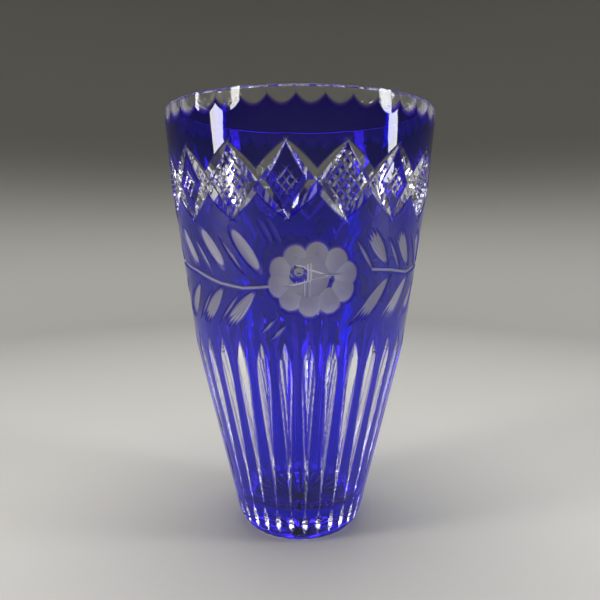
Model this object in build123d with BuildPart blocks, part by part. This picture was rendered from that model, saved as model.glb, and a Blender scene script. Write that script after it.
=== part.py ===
from build123d import *
from build123d.topology import SkipClean

import math
import os

# A tall tapering vase of cased crystal: a clear body under a thin skin of cobalt-blue glass.
# Grinding wheels cut through the skin, so what is left of it stands as separate blue islands.
# The two glasses are fused in the real vase. Here a seam of 0.05 mm keeps their surfaces apart.
# Millimetres and degrees. +Z up, origin at the centre of the resting face, the first flower faces -Y.

# Blown blank
height = 300.0
rim_radius = 95.1
band_height = 247.5
band_radius = 90.7
bend_height = 138.0
bend_radius = 76.0
foot_height = 11.0
foot_radius = 47.2
rest_radius = 41.8
rest_bevel = 0.5
foot_taper = 1.3
skin = 0.6
seam = 0.05

# Grinding: how far a wheel's outline stands out of the glass, and how much longer than its cut it swings
stand_out = 1.5
over_swing = 1.2
olive_reach = 0.9
level = 90.0

# Inside of the vase
rim_wall = 7.4
lip_chamfer = 0.8
band_wall = 7.6
bend_wall = 8.4
floor_thickness = 22.0
floor_radius = 26.0
well_height = 34.0
well_radius = 43.0

# Rim thumb cuts
scallop_count = 36
scallop_phase = 3.7
scallop_length = 13.4
scallop_lean = math.degrees(math.atan(0.15))
scallop_wheel = 78.0
scallop_half_width = 9.4
scallop_lead = 2.0
scallop_run_out = 6.0

# Band of diamonds
diamond_count = 16
diamond_phase = -5.0
diamond_pitch = 360.0 / diamond_count
diamond_rise = 43.5
# The frame cuts run on past the tips of the diamonds, so that they cross at full depth and part the skin.
diamond_overrun = 1.27
diamond_groove_depth = 3.5
mitre_half_angle = 55.0
crosshatch_lines = 5
crosshatch_length = 24.5
crosshatch_depth = 2.1
crosshatch_half_angle = 41.0
hatch_lines = 3
hatch_length = 19.0
hatch_spacing = 0.15
hatch_depth = 1.15
hatch_half_angle = 44.0

# Flowers
flower_count = 2
flower_azimuth = 5.5
flower_height = 189.4
petal_count = 10
petal_start = 12.6
petal_ring_width = 20.8
petal_ring_height = 14.8
petal_ball = 22.0
petal_depth = 2.4
heart_radius = 12.4
heart_offset = (-1.8, 1.4)
heart_depth = 2.3
window_offset = (-6.0, 1.6)
window_depth = 1.2
window_ball = 14.6
heart_line_depth = 0.55
heart_line_half_angle = 45.0
heart_lines = [
    ((-11.7, -5.4), (13.4, 0.6)),
    ((-8.6, 7.3), (13.4, 0.6)),
    ((-2.6, -12.2), (-2.6, 7.0)),
    ((-0.6, -12.6), (-0.6, 8.0)),
    ((1.4, -12.3), (1.4, 8.5)),
]

# Branches: each runs left from its flower, so azimuths are counted in degrees to the left of it
stem_depth = 1.6
stem_half_angle = 46.0
stem_joint = 1.2
stem_route = [
    (17.0, 185.4),
    (31.0, 183.6),
    (44.0, 186.0),
    (60.0, 192.2),
    (78.0, 196.8),
    (96.0, 197.6),
    (112.0, 194.3),
    (127.0, 191.2),
    (141.0, 193.8),
    (153.0, 195.0),
]
stem_tip = (164.5, 194.0)
petal_side_cuts = [(11.0, 185.2), (171.5, 192.6)]
petal_side_length = 13.0
petal_side_depth = 2.75
petal_side_half_angle = 24.0
twin_hollows = [(19.4, 218.4), (15.8, 218.4)]
twin_strokes = [(19.6, 160.6), (15.2, 156.7)]
twin_hollow_tilt = -28.0
twin_hollow_size = (18.0, 4.6, 0.5)
twin_stroke_tilt = 46.0
twin_stroke_size = (15.5, 1.2)

# Leaves: (degrees, height) of stalk and tip, the degrees counted from the leaf's own azimuth
leaves_per_side = 8
smooth_leaves = 4
leaf_width = 10.5
leaf_depth = 2.1
leaf_narrowing = 0.5
leaf_run_out = 1.1
leaf_sway = 2.5
leaf_sway_step = 0.9
fanned_leaf_turn = 2.0
upper_leaf_start = 22.0
upper_leaf_pitch = 17.4
upper_leaf = ((0.0, 194.0), (-13.2, 220.5))
upper_blade = ((-6.8, 190.5), (-19.5, 216.0))
upper_blade_depth = 1.5
lower_leaf_start = 24.0
lower_leaf_pitch = 16.7
lower_leaf = ((0.0, 184.0), (-17.5, 157.0))
lower_leaf_rise = (1.1, 0.6)
lower_blade = ((-7.0, 183.0), (-23.0, 158.5))
lower_blade_depth = 1.3
blade_half_angle = 52.0
feather_strokes = 4
feather_stagger = [3.5, 0.8, 0.0, 2.4]
feather_spread = 0.36
feather_stalk = 0.6
feather_depth = 0.19
feather_half_angle = 56.0

# Flutes, foot notches and the star underneath
flute_count = 32
flute_phase = -7.05
rib_pitch = 360.0 / flute_count
flute_foot = 12.5
flute_shoulder = 118.0
flute_depth = 3.3
flute_wheel = 183.0
flute_sweep = 13.5
flute_lead = 4.0
notch_height = 15.5
notch_length = 26.0
notch_depth = 2.0
notch_wheel = 34.0
notch_half_angle = 48.0
star_hub = 5.0
star_depth = 1.5
star_half_angle = 58.0
smallest_island = 0.05


def wall_radius(z):
    """Radius of the uncut outer wall at a height above the foot rounding."""
    corners = [
        (foot_height, foot_radius),
        (bend_height, bend_radius),
        (band_height, band_radius),
        (height, rim_radius),
    ]
    for (z_low, r_low), (z_high, r_high) in zip(corners, corners[1:]):
        if z <= z_high:
            break
    return r_low + (r_high - r_low) * (z - z_low) / (z_high - z_low)


def wall_directions(azimuth, z, tilt):
    """Point on the wall, outward normal, cutting direction and wheel axis at an azimuth and height."""
    step = 0.5
    slope = (wall_radius(z + step) - wall_radius(z - step)) / (2 * step)
    lean = math.atan(slope)
    turn = math.radians(azimuth)
    outward = Vector(math.sin(turn), -math.cos(turn), 0)
    across = Vector(math.cos(turn), math.sin(turn), 0)
    up = outward * math.sin(lean) + Vector(0, 0, math.cos(lean))
    normal = outward * math.cos(lean) - Vector(0, 0, math.sin(lean))
    point = outward * wall_radius(z) + Vector(0, 0, z)
    along = up * math.cos(math.radians(tilt)) + across * math.sin(math.radians(tilt))
    return point, normal, along, normal.cross(along)


def mitre_edge(reach, half_angle):
    """Outline of a mitre wheel's edge: its point at the origin, opening along +Y."""
    side = reach * math.tan(math.radians(half_angle))
    with BuildLine() as outline:
        Polyline((0, 0), (side, reach), (-side, reach), close=True)
    return outline.line


def olive_edge(reach, edge_radius):
    """Outline of a round-edged wheel: its lowest point at the origin, opening along +Y."""
    side = math.sqrt(edge_radius**2 - (edge_radius - reach) ** 2)
    with BuildLine() as outline:
        ThreePointArc((-side, reach), (0, 0), (side, reach))
        Line((side, reach), (-side, reach))
    return outline.line


def wheel_tool(outline, centre, axle, spoke, rim, swing):
    """Swing an edge outline about a wheel's axle, either side of the spoke that meets the glass."""
    first = spoke.rotate(Axis((0, 0, 0), axle), -swing / 2)
    inward = -first if rim > 0 else first
    plane = Plane(origin=centre + first * abs(rim), x_dir=axle, z_dir=axle.cross(inward))
    with BuildPart() as tool:
        with BuildSketch(plane):
            with BuildLine():
                add(outline)
            make_face()
        revolve(axis=Axis(centre, axle), revolution_arc=swing)
    return tool.part


def mitre_cut(azimuth, z, tilt, length, depth, half_angle, wheel=None):
    """V cut pointed at both ends, ground by a mitre wheel whose disc stands across the wall."""
    point, normal, along, axle = wall_directions(azimuth, z, tilt)
    if wheel is None:
        bulge = math.sin(math.radians(tilt)) ** 2 / wall_radius(z)
        wheel = 1.0 / (8.0 * depth / length**2 - bulge)
    centre = point + normal * (wheel - depth)
    swing = math.degrees(over_swing * length / wheel)
    return wheel_tool(mitre_edge(depth + stand_out, half_angle), centre, axle, -normal, wheel, swing)


def mitre_between(start, end, depth, half_angle):
    """Mitre cut that runs out at two (azimuth, height) points."""
    azimuth, z, tilt, length = span(start, end)
    return mitre_cut(azimuth, z, tilt, length, depth, half_angle)


def olive_cut(azimuth, z, tilt, length, width, depth):
    """Leaf-shaped hollow ground by a wheel with a round edge."""
    point, normal, along, axle = wall_directions(azimuth, z, tilt)
    bulge_along = math.sin(math.radians(tilt)) ** 2 / wall_radius(z)
    bulge_across = math.cos(math.radians(tilt)) ** 2 / wall_radius(z)
    wheel = 1.0 / (8.0 * depth / length**2 - bulge_along)
    edge = 1.0 / (8.0 * depth / width**2 - bulge_across)
    centre = point + normal * (wheel - depth)
    swing = math.degrees(over_swing * length / wheel)
    reach = min(depth + stand_out, olive_reach * edge)
    return wheel_tool(olive_edge(reach, edge), centre, axle, -normal, wheel, swing)


def groove_along_wall(azimuth, z, tilt, length, depth, half_angle):
    """V groove of even depth that follows the round of the wall."""
    point, normal, along, axle = wall_directions(azimuth, z, tilt)
    bend = wall_radius(z) / math.sin(math.radians(tilt)) ** 2
    centre = point - normal * bend
    swing = math.degrees(length / bend)
    outline = mitre_edge(depth + stand_out, half_angle)
    return wheel_tool(outline, centre, axle, normal, depth - bend, swing)


def straight_cut(azimuth, z, tilt, length, depth, half_angle):
    """Straight V bar laid into the wall."""
    point, normal, along, axle = wall_directions(azimuth, z, tilt)
    start = point - normal * depth - along * (length / 2)
    with BuildPart() as tool:
        with BuildSketch(Plane(origin=start, x_dir=axle, z_dir=along)):
            with BuildLine():
                add(mitre_edge(depth + stand_out, half_angle))
            make_face()
        extrude(amount=length)
    return tool.part


def span(start, end):
    """Middle azimuth and height, tilt and length of the line between two (azimuth, height) points."""
    azimuth = (start[0] + end[0]) / 2
    z = (start[1] + end[1]) / 2
    sideways = math.radians(end[0] - start[0]) * wall_radius(z)
    upward = end[1] - start[1]
    return azimuth, z, math.degrees(math.atan2(sideways, upward)), math.hypot(sideways, upward)


def outer_wall(inset):
    """Corners of the outer wall from the foot rounding to the rim, set in by a distance."""
    return [
        (foot_radius - inset, foot_height),
        (bend_radius - inset, bend_height),
        (band_radius - inset, band_height),
        (rim_radius - inset, height),
    ]


def rim_cuts():
    """Thumb cuts round the rim: shallow round troughs that deepen towards the top edge."""
    tools = []
    lean = math.radians(scallop_lean)
    reach = scallop_half_width**2 / (2 * scallop_wheel) + stand_out
    for n in range(scallop_count):
        azimuth = scallop_phase + n * 360.0 / scallop_count
        point, normal, along, axle = wall_directions(azimuth, height - scallop_length, 0)
        line = along * math.cos(lean) - normal * math.sin(lean)
        with BuildPart() as tool:
            with BuildSketch(Plane(origin=point - line * scallop_lead, x_dir=axle, z_dir=line)):
                with BuildLine():
                    add(olive_edge(reach, scallop_wheel))
                make_face()
            extrude(amount=scallop_length + scallop_run_out)
        tools.append(tool.part)
    return tools


def diamond_frames():
    """Deep mitre cuts that cross between the diamonds and outline all of them."""
    half = diamond_pitch / 2
    sideways = math.radians(diamond_pitch) * band_radius
    tilt = math.degrees(math.atan2(sideways, diamond_rise))
    length = math.hypot(sideways, diamond_rise) * diamond_overrun
    depth = diamond_groove_depth
    tools = []
    for n in range(diamond_count):
        azimuth = diamond_phase + half + n * diamond_pitch
        for lean in (tilt, -tilt):
            tools.append(mitre_cut(azimuth, band_height, lean, length, depth, mitre_half_angle))
    return tools


def crosshatching(azimuth):
    """Close, deep crossed cuts that leave small pointed blocks in a diamond."""
    sideways = math.radians(diamond_pitch / 2) * band_radius
    tilt = math.degrees(math.atan2(sideways, diamond_rise / 2))
    depth = crosshatch_depth
    tools = []
    for n in range(1, crosshatch_lines + 1):
        place = n / (crosshatch_lines + 1) - 0.5
        z = band_height - place * diamond_rise / 2
        for side in (1, -1):
            across = azimuth + side * place * diamond_pitch / 2
            tools.append(
                straight_cut(across, z, side * tilt, crosshatch_length, depth, crosshatch_half_angle)
            )
    return tools


def hatching(azimuth):
    """Three fine crossed cuts each way in the middle of a blue diamond."""
    sideways = math.radians(diamond_pitch / 2) * band_radius
    tilt = math.degrees(math.atan2(sideways, diamond_rise / 2))
    tools = []
    for n in range(hatch_lines):
        place = (n - (hatch_lines - 1) / 2) * hatch_spacing
        z = band_height - place * diamond_rise / 2
        for side in (1, -1):
            across = azimuth + side * place * diamond_pitch / 2
            tools.append(mitre_cut(across, z, side * tilt, hatch_length, hatch_depth, hatch_half_angle))
    return tools


def ball_cut(point, normal, across, depth, ball):
    """Round hollow ground by a ball-shaped wheel pushed straight in along the normal."""
    reach = depth + stand_out
    side = math.sqrt(ball**2 - (ball - reach) ** 2)
    middle = ball - math.sqrt(ball**2 - (side / 2) ** 2)
    plane = Plane(origin=point - normal * depth, x_dir=across, z_dir=across.cross(normal))
    with BuildPart() as tool:
        with BuildSketch(plane):
            with BuildLine():
                ThreePointArc((0, 0), (side / 2, middle), (side, reach))
                Line((side, reach), (0, reach))
                Line((0, reach), (0, 0))
            make_face()
        revolve(axis=Axis(point, normal), revolution_arc=360)
    return tool.part


def flower_cuts(azimuth):
    """Ring of scooped petals round a flat heart with a polished window and five fine lines."""
    tools = []
    for n in range(petal_count):
        turn = math.radians(petal_start + n * 360.0 / petal_count)
        sideways = petal_ring_width * math.cos(turn)
        z = flower_height + petal_ring_height * math.sin(turn)
        point, normal, along, axle = wall_directions(azimuth + mm_to_degrees(sideways), z, 0)
        tools.append(ball_cut(point, normal, axle, petal_depth, petal_ball))
    turn, lift = heart_offset
    point, normal, along, axle = wall_directions(azimuth + turn, flower_height + lift, 0)
    heart = Plane(origin=point - normal * heart_depth, x_dir=-axle, z_dir=normal)
    with BuildPart() as flat:
        with BuildSketch(heart):
            Circle(heart_radius)
        extrude(amount=heart_depth + stand_out)
    tools.append(flat.part)
    window = heart.from_local_coords(window_offset)
    tools.append(ball_cut(window, normal, axle, window_depth, window_ball))
    for start, end in heart_lines:
        tools.append(line_on_plane(heart, start, end))
    return tools


def line_on_plane(plane, start, end):
    """Fine V line ground into a flat."""
    first = plane.from_local_coords((start[0], start[1], -heart_line_depth))
    last = plane.from_local_coords((end[0], end[1], -heart_line_depth))
    run = last - first
    side = run.normalized().cross(plane.z_dir) * -1
    with BuildPart() as tool:
        with BuildSketch(Plane(origin=first, x_dir=side, z_dir=run)):
            with BuildLine():
                add(mitre_edge(heart_line_depth + stand_out, heart_line_half_angle))
            make_face()
        extrude(amount=run.length)
    return tool.part


def mm_to_degrees(distance):
    """Azimuth covered by a distance along the wall at the garland."""
    return math.degrees(distance / wall_radius(flower_height))


def feather_cuts(base, tip, width):
    """Leaf of four fanned mitre strokes that meet at its stalk and end raggedly."""
    lean = math.radians(span(base, tip)[2])
    middle = (feather_strokes - 1) / 2
    tools = []
    for n in range(feather_strokes):
        place = (n - middle) / middle
        shift = place * width * feather_spread
        short = feather_stagger[n]
        near = (base[0] + mm_to_degrees(feather_stalk * place * math.cos(lean)), base[1])
        far = (
            tip[0] + mm_to_degrees(shift * math.cos(lean) - short * math.sin(lean)),
            tip[1] - shift * math.sin(lean) - short * math.cos(lean),
        )
        tools.append(mitre_between(near, far, width * feather_depth, feather_half_angle))
    return tools


def branch_cuts(flower):
    """Branch that runs left from a flower to the next one, and the small cuts beside the petals."""
    stem = [(flower - left, z) for left, z in stem_route]
    tip = (flower - stem_tip[0], stem_tip[1])
    tools = []
    for start, end in zip(stem, stem[1:]):
        azimuth, z, tilt, length = span(start, end)
        tools.append(
            groove_along_wall(azimuth, z, tilt, length + stem_joint, stem_depth, stem_half_angle)
        )
    azimuth, z, tilt, length = span(stem[-1], tip)
    tools.append(mitre_cut(azimuth, z, tilt, 2 * length, stem_depth, stem_half_angle))
    for left, z in petal_side_cuts:
        tools.append(
            groove_along_wall(
                flower - left, z, level, petal_side_length, petal_side_depth, petal_side_half_angle
            )
        )
    for left, z in twin_hollows:
        tools.append(olive_cut(flower - left, z, twin_hollow_tilt, *twin_hollow_size))
    for left, z in twin_strokes:
        tools.append(
            mitre_cut(flower - left, z, twin_stroke_tilt, *twin_stroke_size, blade_half_angle)
        )
    return tools


def placed(azimuth, line, lift=(0.0, 0.0)):
    """Stalk and tip of a leaf, moved round the wall to its own azimuth and lifted a little."""
    return [(azimuth + turn, z + up) for (turn, z), up in zip(line, lift)]


def leaf_cuts(flower, n):
    """Single cuts, then fanned leaves: one leaf above the branch and one below it, each with a thin blade."""
    upper = flower - upper_leaf_start - upper_leaf_pitch * n
    lower = flower - lower_leaf_start - lower_leaf_pitch * n
    sway = leaf_sway * math.sin(leaf_sway_step * n)
    rise = [step * n for step in lower_leaf_rise]
    single = [
        mitre_between(*placed(upper, upper_blade), upper_blade_depth, blade_half_angle),
        mitre_between(*placed(lower, lower_blade), lower_blade_depth, blade_half_angle),
    ]
    fanned = [feather_cuts(*placed(lower, lower_leaf, rise), leaf_width)]
    if n < smooth_leaves:
        azimuth, z, tilt, length = span(*placed(upper, upper_leaf, (sway, 0.0)))
        width = leaf_width - leaf_narrowing * n
        single.append(olive_cut(azimuth, z, tilt, leaf_run_out * length, width, leaf_depth))
    else:
        fanned.append(feather_cuts(*placed(upper, upper_leaf, (sway + fanned_leaf_turn, 0.0)), leaf_width))
    return single, fanned


def flute_cuts():
    """Long mitre flutes: deepest at the shoulder, rising in a short sweep, dying out at the foot."""
    tools = []
    for n in range(flute_count):
        azimuth = flute_phase + n * rib_pitch
        point, normal, along, axle = wall_directions(azimuth, flute_shoulder, 0)
        run = (flute_shoulder - flute_foot) / along.Z
        slope = math.atan2(flute_depth, run)
        line = along * math.cos(slope) - normal * math.sin(slope)
        facing = normal * math.cos(slope) + along * math.sin(slope)
        deepest = point - normal * flute_depth
        edge = mitre_edge(flute_depth + stand_out, mitre_half_angle)
        with BuildPart() as tool:
            with BuildSketch(Plane(origin=deepest - line * (run + flute_lead), x_dir=axle, z_dir=line)):
                with BuildLine():
                    add(edge)
                make_face()
            extrude(amount=run + flute_lead)
            with BuildSketch(Plane(origin=deepest, x_dir=axle, z_dir=line)):
                with BuildLine():
                    add(edge)
                make_face()
            revolve(axis=Axis(deepest + facing * flute_wheel, -axle), revolution_arc=flute_sweep)
        tools.append(tool.part)
    return tools


def foot_notches():
    """Short upright mitre cuts round the foot, one below each flute."""
    tools = []
    for n in range(flute_count):
        azimuth = flute_phase + n * rib_pitch
        length = notch_length
        tools.append(
            mitre_cut(azimuth, notch_height, 0, length, notch_depth, notch_half_angle, notch_wheel)
        )
    return tools


def star_cuts():
    """Rays under the base that deepen outwards and run out through the rounded foot edge."""
    tools = []
    rise = math.atan2(star_depth, rest_radius - star_hub)
    for n in range(flute_count):
        turn = math.radians(flute_phase + n * rib_pitch)
        outward = Vector(math.sin(turn), -math.cos(turn), 0)
        across = Vector(math.cos(turn), math.sin(turn), 0)
        line = outward * math.cos(rise) + Vector(0, 0, math.sin(rise))
        plane = Plane(origin=outward * star_hub, x_dir=-across, z_dir=line)
        with BuildPart() as tool:
            with BuildSketch(plane):
                with BuildLine():
                    add(mitre_edge(star_depth + stand_out, star_half_angle))
                make_face()
            extrude(amount=rest_radius)
        tools.append(tool.part)
    return tools


def foot_arc(inset):
    """End of the foot rounding, where the ground bevel of the resting face begins."""
    return (rest_radius - foot_taper * inset, rest_bevel)


def core_blank():
    """Clear glass as blown: thick floor, tapering wall, rounded well."""
    corners = outer_wall(skin + seam)
    foot = foot_arc(skin + seam)
    lip = rim_radius - rim_wall
    with BuildPart() as blank:
        with BuildSketch(Plane.XZ):
            with BuildLine():
                wall = Polyline(*reversed(corners))
                TangentArc(wall @ 1, foot, tangent=wall % 1)
                Polyline(
                    foot,
                    (foot[0] - rest_bevel, 0),
                    (0, 0),
                    (0, floor_thickness),
                    (floor_radius, floor_thickness),
                )
                inside = Line((well_radius, well_height), (bend_radius - bend_wall, bend_height))
                TangentArc(inside @ 0, (floor_radius, floor_thickness), tangent=-(inside % 0))
                Polyline(
                    inside @ 1,
                    (band_radius - band_wall, band_height),
                    (lip, height - lip_chamfer),
                    (lip + lip_chamfer, height),
                    corners[-1],
                )
            make_face()
        revolve(axis=Axis.Z)
    return blank.part


def skin_blank():
    """Cobalt glass as cased over the clear body; its lower run is divided down the middle of each rib."""
    ribs = []
    for n in range(flute_count):
        middle = flute_phase + (n + 0.5) * rib_pitch
        with BuildPart() as rib:
            with BuildSketch(Plane.XZ.rotated((0, 0, middle))):
                with BuildLine():
                    outside = Line((bend_radius, bend_height), (foot_radius, foot_height))
                    TangentArc(outside @ 1, foot_arc(0), tangent=outside % 1)
                    inside = Line((bend_radius - skin, bend_height), (foot_radius - skin, foot_height))
                    TangentArc(inside @ 1, foot_arc(skin), tangent=inside % 1)
                    Line(foot_arc(0), foot_arc(skin))
                    Line(outside @ 0, inside @ 0)
                make_face()
            revolve(axis=Axis.Z, revolution_arc=rib_pitch)
        ribs.append(rib.part)
    with BuildPart() as blank:
        with BuildSketch(Plane.XZ):
            with BuildLine():
                Polyline(*outer_wall(0)[1:], *reversed(outer_wall(skin)[1:]), close=True)
            make_face()
        revolve(axis=Axis.Z)
        add(ribs, clean=False)
    return blank.part


def diamond_cuts(number):
    """Hatching in one diamond: fine in the even ones, close and deep in the odd ones."""
    azimuth = diamond_phase + number * diamond_pitch
    return crosshatching(azimuth) if number % 2 else hatching(azimuth)


def garland_cuts():
    """Flowers, branches and leaves, in groups within which no two cuts cross: that keeps the solid sound."""
    flowers, single = [], []
    strokes = [[] for n in range(feather_strokes)]
    for n in range(flower_count):
        azimuth = flower_azimuth + n * 360.0 / flower_count
        flowers += flower_cuts(azimuth) + branch_cuts(azimuth)
        for leaf in range(leaves_per_side):
            alone, fanned = leaf_cuts(azimuth, leaf)
            single += alone
            for feather in fanned:
                for number, stroke in enumerate(feather):
                    strokes[number].append(stroke)
    return [flowers, single] + strokes


def ground(blank, groups):
    """Glass that is left of a blank once each group of cuts has been ground away in turn."""
    with BuildPart() as piece:
        add(blank, clean=False)
        for tools in groups:
            add(tools, mode=Mode.SUBTRACT, clean=False)
    return [left for left in piece.part.solids() if left.volume > smallest_island]


def save(part, name):
    """Label a finished piece and write it as its own file."""
    part.label = name
    export_step(part, f"parts/{name}.step")
    print(name, len(part.solids()), round(part.volume, 1))


def diamond_of(solid):
    """Number of the diamond that a piece of blue glass belongs to, counting from the front one."""
    centre = solid.center()
    azimuth = math.degrees(math.atan2(centre.X, -centre.Y))
    return round((azimuth - diamond_phase) / diamond_pitch) % diamond_count


os.makedirs("parts", exist_ok=True)
below_band = [flute_cuts(), foot_notches(), star_cuts()] + garland_cuts()
in_band = [diamond_cuts(number) for number in range(diamond_count)]

# The frames part the skin into a collar, sixteen diamonds and the rest, and each is ground on its own.
# Nothing is merged here, so that the faces stay divided down the middle of each rib.
with SkipClean():
    parted = sorted(ground(skin_blank(), [diamond_frames()]), key=lambda piece: -piece.volume)
    rest_of_skin, collar, *diamonds = parted
    with BuildPart() as overlay_garland_and_ribs:
        add(ground(rest_of_skin, below_band), clean=False)
save(overlay_garland_and_ribs.part, "overlay_garland_and_ribs")

with BuildPart() as overlay_collar:
    add(ground(collar, [rim_cuts()]))
save(overlay_collar.part, "overlay_collar")

for diamond in diamonds:
    number = diamond_of(diamond)
    kind = "crosshatched" if number % 2 else "hatched"
    with BuildPart() as overlay_diamond:
        add(ground(diamond, [in_band[number]]))
    save(overlay_diamond.part, f"overlay_{kind}_diamond_{number + 1}")

with BuildPart() as crystal_body:
    add(ground(core_blank(), [rim_cuts(), diamond_frames(), sum(in_band, [])] + below_band))
save(crystal_body.part, "crystal_body")
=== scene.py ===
# %% [markdown]
# # A cut crystal vase in cased glass
#
# The vase is a clear crystal body under a thin skin of cobalt glass. A cutter grinds through the skin,
# so the pattern is drawn by where the blue is missing. The shape of every cut is already in the packed
# model, node by node. What is left to do here is the glass: how each ground face bends, tints or
# scatters light, and how the vase is lit.

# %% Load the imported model
import math

import bpy
import numpy as np
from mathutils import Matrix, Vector


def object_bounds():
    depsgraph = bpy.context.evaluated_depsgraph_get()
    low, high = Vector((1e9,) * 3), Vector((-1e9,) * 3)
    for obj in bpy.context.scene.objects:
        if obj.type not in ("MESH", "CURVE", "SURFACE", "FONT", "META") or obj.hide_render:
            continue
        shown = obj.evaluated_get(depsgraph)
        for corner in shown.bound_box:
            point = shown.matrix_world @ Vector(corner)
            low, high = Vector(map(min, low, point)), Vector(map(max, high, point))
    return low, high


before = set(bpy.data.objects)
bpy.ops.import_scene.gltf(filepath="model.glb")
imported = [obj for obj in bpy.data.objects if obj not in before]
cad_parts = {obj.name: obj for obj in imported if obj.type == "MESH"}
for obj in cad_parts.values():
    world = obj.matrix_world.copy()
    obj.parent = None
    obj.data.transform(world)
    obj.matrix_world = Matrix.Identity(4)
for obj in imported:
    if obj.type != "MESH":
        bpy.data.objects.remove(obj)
cad_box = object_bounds()
blue_nodes = sorted(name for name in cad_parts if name.startswith("overlay_"))
clear_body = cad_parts["crystal_body"]
print("height", round(cad_box[1].z, 4), "m,", len(blue_nodes), "nodes of blue skin")

# %% [markdown]
# ## Where the blank's wall was before it was cut
#
# To know which faces are still the blown surface, which are the fused seam between the two glasses and
# which were ground, we need the line of the uncut wall. One could paint the faces by hand, but there are
# thousands. The wall is three straight runs and one arc at the foot, so a short function gives its radius
# at any height. The same line set in by the thickness of the skin is the seam.

# %% The line of the wall, in millimetres
mm = 0.001
wall_line = [(11.0, 47.2), (138.0, 76.0), (247.5, 90.7), (300.0, 95.1)]
rest_radius = 41.8
rest_bevel = 0.5
foot_taper = 1.3
skin = 0.6
seam_gap = 0.05


def foot_circle(inset):
    """Centre and radius of the arc that rounds the foot, tangent to the wall where it begins."""
    (z0, r0), (z1, r1) = wall_line[:2]
    run = math.hypot(r1 - r0, z1 - z0)
    inward = ((z0 - z1) / run, (r1 - r0) / run)
    to_end = (rest_radius - foot_taper * inset - (r0 - inset), rest_bevel - z0)
    reach = (to_end[0] ** 2 + to_end[1] ** 2) / (2 * (inward[0] * to_end[0] + inward[1] * to_end[1]))
    return r0 - inset + inward[0] * reach, z0 + inward[1] * reach, reach


print("the foot is rounded with a radius of", round(foot_circle(0)[2], 1), "mm")


# %% Its radius at any height
def wall_radius(heights, inset):
    """Radius of the uncut wall, in millimetres, at heights in millimetres."""
    z_line, r_line = zip(*wall_line)
    straight = np.interp(heights, z_line, r_line) - inset
    centre_r, centre_z, reach = foot_circle(inset)
    drop = np.clip(reach**2 - (heights - centre_z) ** 2, 0, None)
    return np.where(heights < z_line[0], centre_r + np.sqrt(drop), straight)


ends = wall_radius(np.array([rest_bevel, wall_line[-1][0]]), 0)
print("radius at the foot and at the rim:", ends.round(1), "mm")

# %% [markdown]
# ## Telling the faces apart
#
# A grinding wheel leaves one face at a time, with sharp edges where it meets its neighbours. The packed
# mesh keeps that: faces that meet at a sharp edge don't share vertices. So each connected patch of
# polygons is one face of the real glass. We number the patches, then ask three things of each patch:
# does it lie on the wall line, does it lie on the seam, and where is its middle.


# %% Number the patches of a mesh
def patch_numbers(mesh):
    """Patch number of each vertex: vertices joined by edges share the lowest number among them."""
    edges = np.empty(len(mesh.edges) * 2, np.int32)
    mesh.edges.foreach_get("vertices", edges)
    one, other = edges.reshape(-1, 2).T
    number = np.arange(len(mesh.vertices))
    while True:
        lowest = np.minimum(number[one], number[other])
        fresh = number.copy()
        np.minimum.at(fresh, one, lowest)
        np.minimum.at(fresh, other, lowest)
        fresh = fresh[fresh]
        if np.array_equal(fresh, number):
            return number
        number = fresh


print("the clear body has", len(np.unique(patch_numbers(clear_body.data))), "faces of glass")


# %% Find a vertex of each polygon
def first_corners(mesh):
    """Number of the first vertex of each polygon."""
    corner = np.empty(len(mesh.loops), np.int32)
    mesh.loops.foreach_get("vertex_index", corner)
    start = np.empty(len(mesh.polygons), np.int32)
    mesh.polygons.foreach_get("loop_start", start)
    return corner[start]


print("and", len(first_corners(clear_body.data)), "polygons")

# %% Measure the patches
on_line = 0.03


def measure_patches(mesh):
    """For each polygon: whether its patch is blown wall or seam, and the patch's middle in mm."""
    places = np.empty(len(mesh.vertices) * 3)
    mesh.vertices.foreach_get("co", places)
    x, y, z = places.reshape(-1, 3).T / mm
    patch, index = np.unique(patch_numbers(mesh), return_inverse=True)
    radius = np.hypot(x, y)
    inset = skin + seam_gap if mesh == clear_body.data else skin
    off_wall = np.zeros(len(patch))
    off_seam = np.zeros(len(patch))
    np.maximum.at(off_wall, index, np.abs(radius - wall_radius(z, 0)))
    np.maximum.at(off_seam, index, np.abs(radius - wall_radius(z, inset)))
    count = np.bincount(index)
    middle = np.column_stack([np.bincount(index, axis) / count for axis in (x, y, z)])
    owner = index[first_corners(mesh)]
    return {
        "blown": (off_wall < on_line)[owner],
        "seam": (off_seam < on_line)[owner],
        "radius": (np.bincount(index, radius) / count)[owner],
        "middle": middle[owner],
    }


on_the_seam = measure_patches(clear_body.data)["seam"]
print("polygons of the clear body that lie on the seam:", on_the_seam.sum())

# %% [markdown]
# ## The shader all glasses share
#
# Polished lead crystal bends light more than window glass, so its index is 1.55. A Glass shader would
# give only that. The Principled shader also has the roughness, the alpha and the part-way transmission
# that the matte faces and the seam need, so every finish of this vase starts from it.

# %% A bare glass
crystal_index = 1.55


def bare_glass(name):
    """New material with one Principled shader."""
    material = bpy.data.materials.new(name)
    material.use_nodes = True
    tree = material.node_tree
    tree.nodes.clear()
    output = tree.nodes.new("ShaderNodeOutputMaterial")
    glass = tree.nodes.new("ShaderNodeBsdfPrincipled")
    tree.links.new(glass.outputs[0], output.inputs["Surface"])
    return material, tree, glass


print("index of refraction", crystal_index)

# %% [markdown]
# ## Traces of the tools
#
# Nothing in the vase is perfectly even. The blown surface waves a little, felt wheels leave faint lines
# on a cut and a fine stone leaves grain. These are far too small for mesh. An image of scratches would
# repeat and smear over the slopes, so the traces are noise in the vase's own space, stretched along its
# height where the wheel ran upright, and turned into bump.


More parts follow.
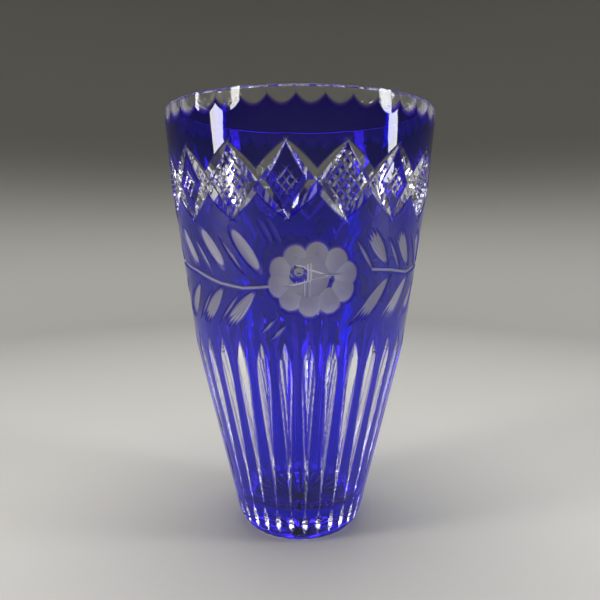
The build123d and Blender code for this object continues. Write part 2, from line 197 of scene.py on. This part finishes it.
# %% Noise, a range and a relief
def noise(tree, scale, detail=2.0, stretch=(1, 1, 1)):
    """Noise in the vase's own coordinates, stretched along its axes."""
    place = tree.nodes.new("ShaderNodeTexCoord")
    spread = tree.nodes.new("ShaderNodeMapping")
    spread.inputs["Scale"].default_value = stretch
    grain = tree.nodes.new("ShaderNodeTexNoise")
    grain.inputs["Scale"].default_value = scale
    grain.inputs["Detail"].default_value = detail
    tree.links.new(place.outputs["Object"], spread.inputs["Vector"])
    tree.links.new(spread.outputs[0], grain.inputs["Vector"])
    return grain.outputs["Fac"]


def ranged(tree, value, low, high):
    """The value mapped from 0..1 to low..high."""
    scale = tree.nodes.new("ShaderNodeMapRange")
    scale.inputs["To Min"].default_value = low
    scale.inputs["To Max"].default_value = high
    tree.links.new(value, scale.inputs["Value"])
    return scale.outputs[0]


def bump(tree, value, distance, strength, under=None):
    """Bump from a value, on top of another bump if there is one."""
    relief = tree.nodes.new("ShaderNodeBump")
    relief.inputs["Distance"].default_value = distance
    relief.inputs["Strength"].default_value = strength
    tree.links.new(value, relief.inputs["Height"])
    if under is not None:
        tree.links.new(under, relief.inputs["Normal"])
    return relief.outputs[0]


print("noise, ranged and bump are ready")

# %% [markdown]
# ## The colour of the cobalt skin
#
# Light that crosses the whole skin keeps four fifths of its blue and almost none of its red and green.
# Where a wheel has ground slantwise through the skin, less and less of it is left towards the clear
# glass, and the blue fades out along the slope. A dye in the volume would do this by itself, but a
# volume ends only at a face with the very material that began it, and this skin has several. So the
# tint sits on the surface and follows how deep the point lies under the uncut wall: the colour of the
# full skin raised to the share that is left.

# %% Colour of the full skin, and how deep the blue reaches under a matte face
full_skin = (0.03, 0.01, 0.80)
matte_fade = 1.0


def radius_of_point(tree, axes):
    """Distance of a point from the vase's axis, in metres."""
    flat = tree.nodes.new("ShaderNodeCombineXYZ")
    radius = tree.nodes.new("ShaderNodeVectorMath")
    radius.operation = "LENGTH"
    tree.links.new(axes.outputs["X"], flat.inputs["X"])
    tree.links.new(axes.outputs["Y"], flat.inputs["Y"])
    tree.links.new(flat.outputs[0], radius.inputs[0])
    return radius.outputs["Value"]


print("share of red, green and blue that one skin lets by:", full_skin)

# %% [markdown]
# The wall bends inwards at each corner of its line. So the lowest of its straight runs, each drawn on
# past its ends, is the wall itself, and the shader needs no lookup.


# %% The wall line inside a shader
def wall_at_point(tree, axes):
    """Radius of the uncut wall, in metres, at the height of a point."""
    wall = None
    for (z0, r0), (z1, r1) in zip(wall_line, wall_line[1:]):
        slope = (r1 - r0) / (z1 - z0)
        run = tree.nodes.new("ShaderNodeMath")
        run.operation = "MULTIPLY_ADD"
        run.inputs[1].default_value = slope
        run.inputs[2].default_value = (r0 - slope * z0) * mm
        tree.links.new(axes.outputs["Z"], run.inputs[0])
        if wall is None:
            wall = run.outputs[0]
            continue
        lower = tree.nodes.new("ShaderNodeMath")
        lower.operation = "MINIMUM"
        tree.links.new(wall, lower.inputs[0])
        tree.links.new(run.outputs[0], lower.inputs[1])
        wall = lower.outputs[0]
    return wall


def skin_left(tree, depth):
    """Share of a depth that is left under a point: 1 on the uncut wall, 0 that many millimetres down."""
    place = tree.nodes.new("ShaderNodeTexCoord")
    axes = tree.nodes.new("ShaderNodeSeparateXYZ")
    tree.links.new(place.outputs["Object"], axes.inputs[0])
    under = tree.nodes.new("ShaderNodeMath")
    under.operation = "SUBTRACT"
    tree.links.new(radius_of_point(tree, axes), under.inputs[0])
    tree.links.new(wall_at_point(tree, axes), under.inputs[1])
    share = tree.nodes.new("ShaderNodeMapRange")
    share.inputs["From Min"].default_value = -depth * mm
    share.inputs["From Max"].default_value = 0.0
    tree.links.new(under.outputs[0], share.inputs["Value"])
    return share.outputs[0]


print("the wall line has", len(wall_line) - 1, "straight runs")

# %% [markdown]
# Principled glass tints a ray by the square root of its base colour at each crossing. The skin is
# crossed once, so its colour is squared before it goes in.

# %% The tint of a ground face
ramp_stops = 6


def cobalt_tint(tree, glass, grey, depth):
    """Colour a ground face by the skin over that depth, on a glass of its own grey."""
    ramp = tree.nodes.new("ShaderNodeValToRGB")
    stops = ramp.color_ramp.elements
    while len(stops) < ramp_stops:
        stops.new(0.5)
    for n, stop in enumerate(stops):
        share = n / (ramp_stops - 1)
        stop.position = share
        stop.color = (*(g * full ** (2 * share) for g, full in zip(grey, full_skin)), 1)
    tree.links.new(skin_left(tree, depth), ramp.inputs[0])
    tree.links.new(ramp.outputs[0], glass.inputs["Base Color"])


print("the tint fades over", skin, "mm on a polished edge and", matte_fade, "mm on a matte one")

# %% [markdown]
# ## Polished and blown glass
#
# The cuts were polished with felt until they are as clear as the blown wall. What tells the two apart is
# the relief: the blown wall has a slow wave from the gather, a cut has fine lines along the wheel. One
# function makes both, with a strength for each.

# %% Polished glass, clear or blue
crystal_clear = (0.98, 0.99, 1.0)
most_smear = 0.03
blown_wave = 0.35
wheel_lines = 0.25


def polished(name, tint, wave, lines):
    """Glass as clear as it gets: its tint, how wavy it is and how strong its wheel lines are."""
    material, tree, glass = bare_glass(name)
    glass.inputs["Base Color"].default_value = (*tint, 1)
    glass.inputs["Transmission Weight"].default_value = 1.0
    glass.inputs["IOR"].default_value = crystal_index
    tree.links.new(ranged(tree, noise(tree, 60.0, 3.0), 0.0, most_smear), glass.inputs["Roughness"])
    relief = bump(tree, noise(tree, 28.0, 1.0, (1, 1, 0.45)), 0.001, wave)
    if lines:
        relief = bump(tree, noise(tree, 900.0, 2.0, (1, 1, 0.12)), 0.0001, lines, relief)
    tree.links.new(relief, glass.inputs["Normal"])
    return material


def polished_edge(name):
    """Polished slope through the skin, from full blue at the wall to clear at the seam."""
    edge = polished(name, crystal_clear, 0.0, wheel_lines)
    tree = edge.node_tree
    cobalt_tint(tree, tree.nodes["Principled BSDF"], crystal_clear, skin)
    return edge


clear_cut = polished("polished_crystal_cut", crystal_clear, 0.0, wheel_lines)
clear_blown = polished("fire_polished_crystal", crystal_clear, blown_wave, 0.0)
blue_blown = polished("cobalt_skin_blown", tuple(full**2 for full in full_skin), blown_wave, 0.0)
blue_cut = polished_edge("cobalt_skin_cut_edge")
print("polished:", clear_cut.name, clear_blown.name, blue_blown.name, blue_cut.name)

# %% [markdown]
# ## Matte engraved glass
#
# Flowers, leaves and branches were ground with a fine stone and left as they are. White paint would look
# like chalk: matte glass still lets light through. So the shader is half transmission, half scatter, and
# rough. The grain scatters light in the glass behind it, so the blue of the edge bleeds a little way into
# the grey: the tint fades over a millimetre of depth instead of stopping at the seam. The five fine lines
# in the heart of a flower cut through the grey and look nearly white.

# %% Matte glass
stone_grey = (0.46, 0.45, 0.53)
line_white = (0.95, 0.94, 0.97)
smooth_stone = 0.35
coarse_stone = 0.6


def matte(name, grey):
    """Ground and left unpolished: fine grain that scatters light back, and still lets some through."""
    material, tree, glass = bare_glass(name)
    glass.inputs["Transmission Weight"].default_value = 0.45
    glass.inputs["IOR"].default_value = crystal_index
    grain = ranged(tree, noise(tree, 700.0, 4.0), smooth_stone, coarse_stone)
    tree.links.new(grain, glass.inputs["Roughness"])
    relief = bump(tree, noise(tree, 2600.0, 4.0), 0.00012, 0.5)
    relief = bump(tree, noise(tree, 420.0, 2.0, (1, 1, 0.25)), 0.0003, 0.35, relief)
    tree.links.new(relief, glass.inputs["Normal"])
    cobalt_tint(tree, glass, grey, matte_fade)
    return material


clear_matte = matte("matte_engraved_crystal", stone_grey)
pale_line = matte("fine_pale_line", line_white)
blue_matte = matte("cobalt_skin_matte_edge", stone_grey)
print("matte:", clear_matte.name, pale_line.name, blue_matte.name)

# %% [markdown]
# ## The fused seam
#
# Clear and blue glass are fused, so there is nothing to see between them. The model has a thin gap there,
# because solids may not share faces. Leaving the faces as glass would bend the light twice and show a
# silvery film. They are made fully transparent instead.


# %% Seam that lets everything by
def fused(name):
    """Face inside the glass that can't be seen."""
    material, tree, glass = bare_glass(name)
    glass.inputs["Alpha"].default_value = 0.0
    return material


clear_seam = fused("fused_seam_clear")
blue_seam = fused("fused_seam_cobalt")
print("seams:", clear_seam.name, blue_seam.name)

# %% [markdown]
# ## The heart of a flower
#
# In the middle of each flower is a flat heart with a small polished window and five fine lines. They are
# ground deeper than the flat of the heart, so a patch whose middle lies under the heart's plane is one or
# the other, and its distance from the window's middle says which.

# %% Where the hearts are, in degrees round the wall and millimetres
flower_azimuths = (3.7, 183.7)
heart_height = 190.8
heart_depth = 2.3
heart_radius = 11.5
window_offset = (-6.0, 1.6)
window_reach = 5.0
just_under = 0.04
deepest_cut = 2.5


def heart_axes(azimuth):
    """Middle of the flat of a heart, then the directions right, up and outwards along it."""
    lean = math.atan2(wall_line[2][1] - wall_line[1][1], wall_line[2][0] - wall_line[1][0])
    away = np.array((math.sin(azimuth), -math.cos(azimuth), 0))
    right = np.array((math.cos(azimuth), math.sin(azimuth), 0))
    upright = np.array((0, 0, 1))
    normal = away * math.cos(lean) - upright * math.sin(lean)
    up = away * math.sin(lean) + upright * math.cos(lean)
    on_wall = away * wall_radius(np.array([heart_height]), 0)[0] + upright * heart_height
    return on_wall - normal * heart_depth, right, up, normal


print("middle of the front heart:", heart_axes(math.radians(flower_azimuths[0]))[0].round(1), "mm")


# %% Its lines and its window
def heart_parts(middles):
    """Which patch middles, in mm, belong to the fine lines of a heart and which to its window."""
    lines = np.zeros(len(middles), bool)
    window = np.zeros(len(middles), bool)
    for azimuth in map(math.radians, flower_azimuths):
        centre, right, up, normal = heart_axes(azimuth)
        apart = middles - centre
        deeper = (apart @ normal < -just_under) & (apart @ normal > -deepest_cut)
        across = np.hypot(apart @ right, apart @ up)
        to_window = np.hypot(apart @ right - window_offset[0], apart @ up - window_offset[1])
        window |= deeper & (to_window < window_reach)
        lines |= deeper & (across < heart_radius) & (to_window >= window_reach)
    return lines, window


lines, window = heart_parts(measure_patches(clear_body.data)["middle"])
print("polygons in the fine lines:", lines.sum(), "and in the windows:", window.sum())

# %% [markdown]
# ## Give each ground face its finish
#
# The flowers, leaves and branches were engraved and left matte. All other cuts were polished. The
# engraving lies between two heights, so the middle height of a patch tells the two apart. The inside of
# the well is blown wall too: it lies well within the outer wall.

# %% Assign the finishes
garland_low = 150.0
garland_high = 223.5
outer_glass = 6.0
SEAM, BLOWN, MATTE, CUT, LINE = range(5)


def finish(node, finishes):
    """Put the finishes on a node: seam, blown, matte, polished cut and fine line, patch by patch."""
    mesh = node.data
    faces = measure_patches(mesh)
    height = faces["middle"][:, 2]
    outside = faces["radius"] > wall_radius(height, outer_glass)
    engraved = (height > garland_low) & (height < garland_high) & outside
    choice = np.where(engraved, MATTE, CUT)
    choice = np.where(faces["blown"] | ~outside, BLOWN, choice)
    lines, window = heart_parts(faces["middle"])
    choice = np.where(lines & outside, LINE, np.where(window & outside, CUT, choice))
    choice = np.where(faces["seam"], SEAM, choice)
    mesh.materials.clear()
    for material in finishes:
        mesh.materials.append(material)
    mesh.polygons.foreach_set("material_index", choice.astype(np.int32))
    mesh.update()
    print(node.name, "seam, blown, matte, cut, line:", np.bincount(choice, minlength=len(finishes)))


finish(clear_body, [clear_seam, clear_blown, clear_matte, clear_cut, pale_line])
for name in blue_nodes:
    finish(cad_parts[name], [blue_seam, blue_blown, blue_matte, blue_cut, blue_matte])

# %% [markdown]
# ## A pale floor and soft light
#
# Glass shows what is around it, so the room matters as much as the material. The stage is one sheet: a
# pale floor that sweeps up, all round, into walls of a calm dark grey, so there is no horizon line and
# every side of the vase sees the same room. White walls would wash the blue out, since most of what is
# seen in the skin is the room behind it.

# %% The line of floor and wall
floor_middle = 0.3
floor_reach = 0.9
sweep = 0.5
wall_top = 1.6
sweep_steps = 24
turns = 96


def stage_profile():
    """Radius and height along the sheet, from the middle of the floor to the top of the wall."""
    line = [(0.0, 0.0), (floor_middle, 0.0), (floor_reach, 0.0)]
    for step in range(1, sweep_steps + 1):
        lean = math.radians(90.0 * step / sweep_steps)
        line.append((floor_reach + sweep * math.sin(lean), sweep * (1 - math.cos(lean))))
    return line + [(floor_reach + sweep, wall_top)]


line = stage_profile()
print("the stage reaches", line[-1][0], "m out and", line[-1][1], "m up")

# %% The sheet, turned about the vase's axis
corners = [
    (r * math.cos(math.tau * n / turns), r * math.sin(math.tau * n / turns), z)
    for r, z in line
    for n in range(turns)
]
faces = [
    (a * turns + n, a * turns + (n + 1) % turns, (a + 1) * turns + (n + 1) % turns, (a + 1) * turns + n)
    for a in range(len(line) - 1)
    for n in range(turns)
]
sheet = bpy.data.meshes.new("pale_floor_and_walls")
sheet.from_pydata(corners, [], faces)
sheet.shade_smooth()
floor = bpy.data.objects.new("pale_floor_and_walls", sheet)
bpy.context.scene.collection.objects.link(floor)
print("faces of the sheet:", len(faces))

# %% [markdown]
# The sheet is painted matte. Its colour fades with height from the pale floor to the grey wall, over the
# height of the sweep, so that the change can't be seen as an edge.

# %% Its paint
floor_colour = (0.52, 0.51, 0.48)
wall_colour = (0.11, 0.105, 0.09)
paint = bpy.data.materials.new("stage_paint")
paint.use_nodes = True
shades = paint.node_tree
coat = shades.nodes["Principled BSDF"]
coat.inputs["Roughness"].default_value = 0.85
where = shades.nodes.new("ShaderNodeTexCoord")
split = shades.nodes.new("ShaderNodeSeparateXYZ")
fade = shades.nodes.new("ShaderNodeMapRange")
fade.interpolation_type = "SMOOTHERSTEP"
fade.inputs["From Max"].default_value = sweep
blend = shades.nodes.new("ShaderNodeMix")
blend.data_type = "RGBA"
blend.inputs["A"].default_value = (*floor_colour, 1)
blend.inputs["B"].default_value = (*wall_colour, 1)
shades.links.new(where.outputs["Object"], split.inputs[0])
shades.links.new(split.outputs["Z"], fade.inputs["Value"])
shades.links.new(fade.outputs[0], blend.inputs["Factor"])
shades.links.new(blend.outputs["Result"], coat.inputs["Base Color"])
sheet.materials.append(paint)
print("painted", sheet.name)

# %% The air above the stage
air_colour = (0.12, 0.12, 0.115)
world = bpy.data.worlds.new("studio")
bpy.context.scene.world = world
world.use_nodes = True
world.node_tree.nodes["Background"].inputs["Color"].default_value = (*air_colour, 1)
print("light from all round:", air_colour)

# %% [markdown]
# ## Soft panels
#
# Small lamps would make glass glitter and leave it dark between the sparks. Tall narrow panels left and
# right draw one long streak each down the wall, and a wide panel above fills the inside of the vase and
# the cut rim with light.

# %% Three panels
middle = Vector((0, 0, cad_box[1].z / 2))


def panel(name, place, width, tall, power, colour):
    """Soft panel of light at a place, turned to the middle of the vase and not itself in the picture."""
    lamp = bpy.data.lights.new(name, "AREA")
    lamp.shape = "RECTANGLE"
    lamp.size = width
    lamp.size_y = tall
    lamp.energy = power
    lamp.color = colour
    holder = bpy.data.objects.new(name, lamp)
    holder.location = place
    holder.rotation_euler = (middle - Vector(place)).to_track_quat("-Z", "Y").to_euler()
    holder.visible_camera = False
    bpy.context.scene.collection.objects.link(holder)
    print(name, power, "W")


panel("left_panel", (-1.05, -0.45, 0.55), 0.24, 0.9, 9.0, (1.0, 0.98, 0.95))
panel("right_panel", (1.1, -0.25, 0.55), 0.2, 0.9, 7.0, (0.95, 0.97, 1.0))
panel("top_panel", (0.0, 0.1, 1.3), 0.9, 0.9, 14.0, (1.0, 1.0, 1.0))

# %% [markdown]
# ## Camera
#
# The eye stands a short arm's length from the vase, a little above its middle, and looks down slightly.
# So near, the rim opens into an ellipse and the foot looks small.

# %% The eye
eye = Vector((0.0, -0.4246, 0.2229))
look_down = 7.556
camera = bpy.data.cameras.new("eye_level")
camera.lens = 34.5
camera.sensor_width = 36.0
viewer = bpy.data.objects.new("eye_level", camera)
viewer.location = eye
viewer.rotation_euler = (math.radians(90 - look_down), 0, 0)
bpy.context.scene.collection.objects.link(viewer)
bpy.context.scene.camera = viewer
print("the eye is", round((eye - middle).length, 3), "m from the middle of the vase")

# %% [markdown]
# ## Enough bounces for crystal
#
# A ray that enters cut crystal is turned many times inside the wall before it leaves. With the usual
# limit it would end in black, so the limits are raised. The plain view transform keeps the blue pure,
# where a filmic one would turn it pale.

# %% Bounces and view
paths = bpy.context.scene.cycles
paths.max_bounces = 32
paths.transmission_bounces = 32
paths.glossy_bounces = 16
paths.transparent_max_bounces = 48
bpy.context.scene.view_settings.view_transform = "Standard"
print("a ray may turn", paths.max_bounces, "times")
